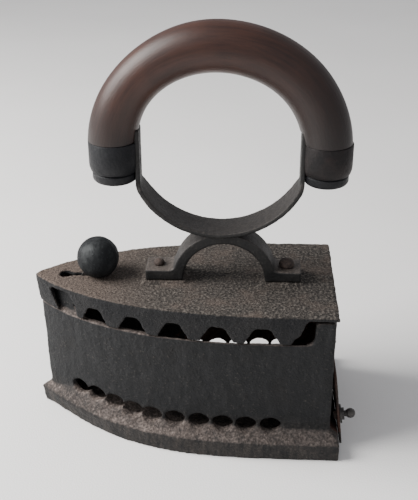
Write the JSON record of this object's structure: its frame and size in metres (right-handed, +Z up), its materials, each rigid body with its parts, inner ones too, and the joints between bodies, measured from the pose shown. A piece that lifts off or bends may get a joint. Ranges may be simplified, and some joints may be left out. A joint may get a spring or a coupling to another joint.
{
  "type": "charcoal clothes iron",
  "caption": "Cast-iron charcoal clothes iron: flat pointed sole, vented firebox, hinged scalloped lid with ball latch, draught door and looped wooden grip.",
  "frame": {"origin": "on the sole's underside, midway along the flange's length and width", "axes": "+X from the pointed tip towards the back, +Y to the far side with the tip at the left, +Z up"},
  "size_m": [0.2188, 0.1236, 0.2756],
  "materials": {
    "wall_iron": "smooth-cast, heat-blackened iron walls",
    "lid_iron": "pitted sand-cast iron with brown dust and rust",
    "ball_iron": "dark polished iron, mottled",
    "forged_iron": "dark brown forged iron, rubbed smooth",
    "rusty_iron": "rusty iron fasteners",
    "sleeve_metal": "blackened sheet metal",
    "rear_sleeve_metal": "blackened sheet metal with brown varnish",
    "old_wood": "dark polished hardwood, worn and charred"
  },
  "bodies": {
    "root": {"body_casting": "wall_iron", "lid_hinge_pin": "rusty_iron", "door_hinge_pin": "rusty_iron", "catch_pin": "rusty_iron"},
    "lid": {"lid_casting": "lid_iron", "handle_bracket": "forged_iron", "foot_bolt_front": "rusty_iron", "foot_bolt_rear": "rusty_iron", "foot_nut_front": "rusty_iron", "foot_nut_rear": "rusty_iron", "wooden_grip": "old_wood", "ferrule_front": "sleeve_metal", "ferrule_rear": "rear_sleeve_metal", "end_cap_front": "sleeve_metal", "end_cap_rear": "sleeve_metal", "cap_screw_front": "rusty_iron", "cap_screw_rear": "rusty_iron", "tang_nail_front_lower": "forged_iron", "tang_nail_front_upper": "forged_iron", "tang_nail_rear_lower": "forged_iron", "tang_nail_rear_upper": "forged_iron", "latch_pin": "rusty_iron"},
    "latch": {"latch_lever": "forged_iron", "latch_ball": "ball_iron"},
    "door": {"draught_door": "wall_iron", "door_knob": "forged_iron", "knob_nut": "rusty_iron"}
  },
  "joints": [
    {"name": "lid_hinge", "type": "hinge", "parent": "root", "child": "lid", "pos_m": [0.09345, 0, 0.0905], "axis": [0, 1, 0], "range_deg": [0, 95]},
    {"name": "latch_pivot", "type": "hinge", "parent": "lid", "child": "latch", "pos_m": [-0.07075, 0, 0.095], "axis": [0, -1, 0], "range_deg": [0, 50]},
    {"name": "door_hinge", "type": "hinge", "parent": "root", "child": "door", "pos_m": [0.10055, 0, 0.06], "axis": [0, -1, 0], "range_deg": [0, 100]}
  ]
}
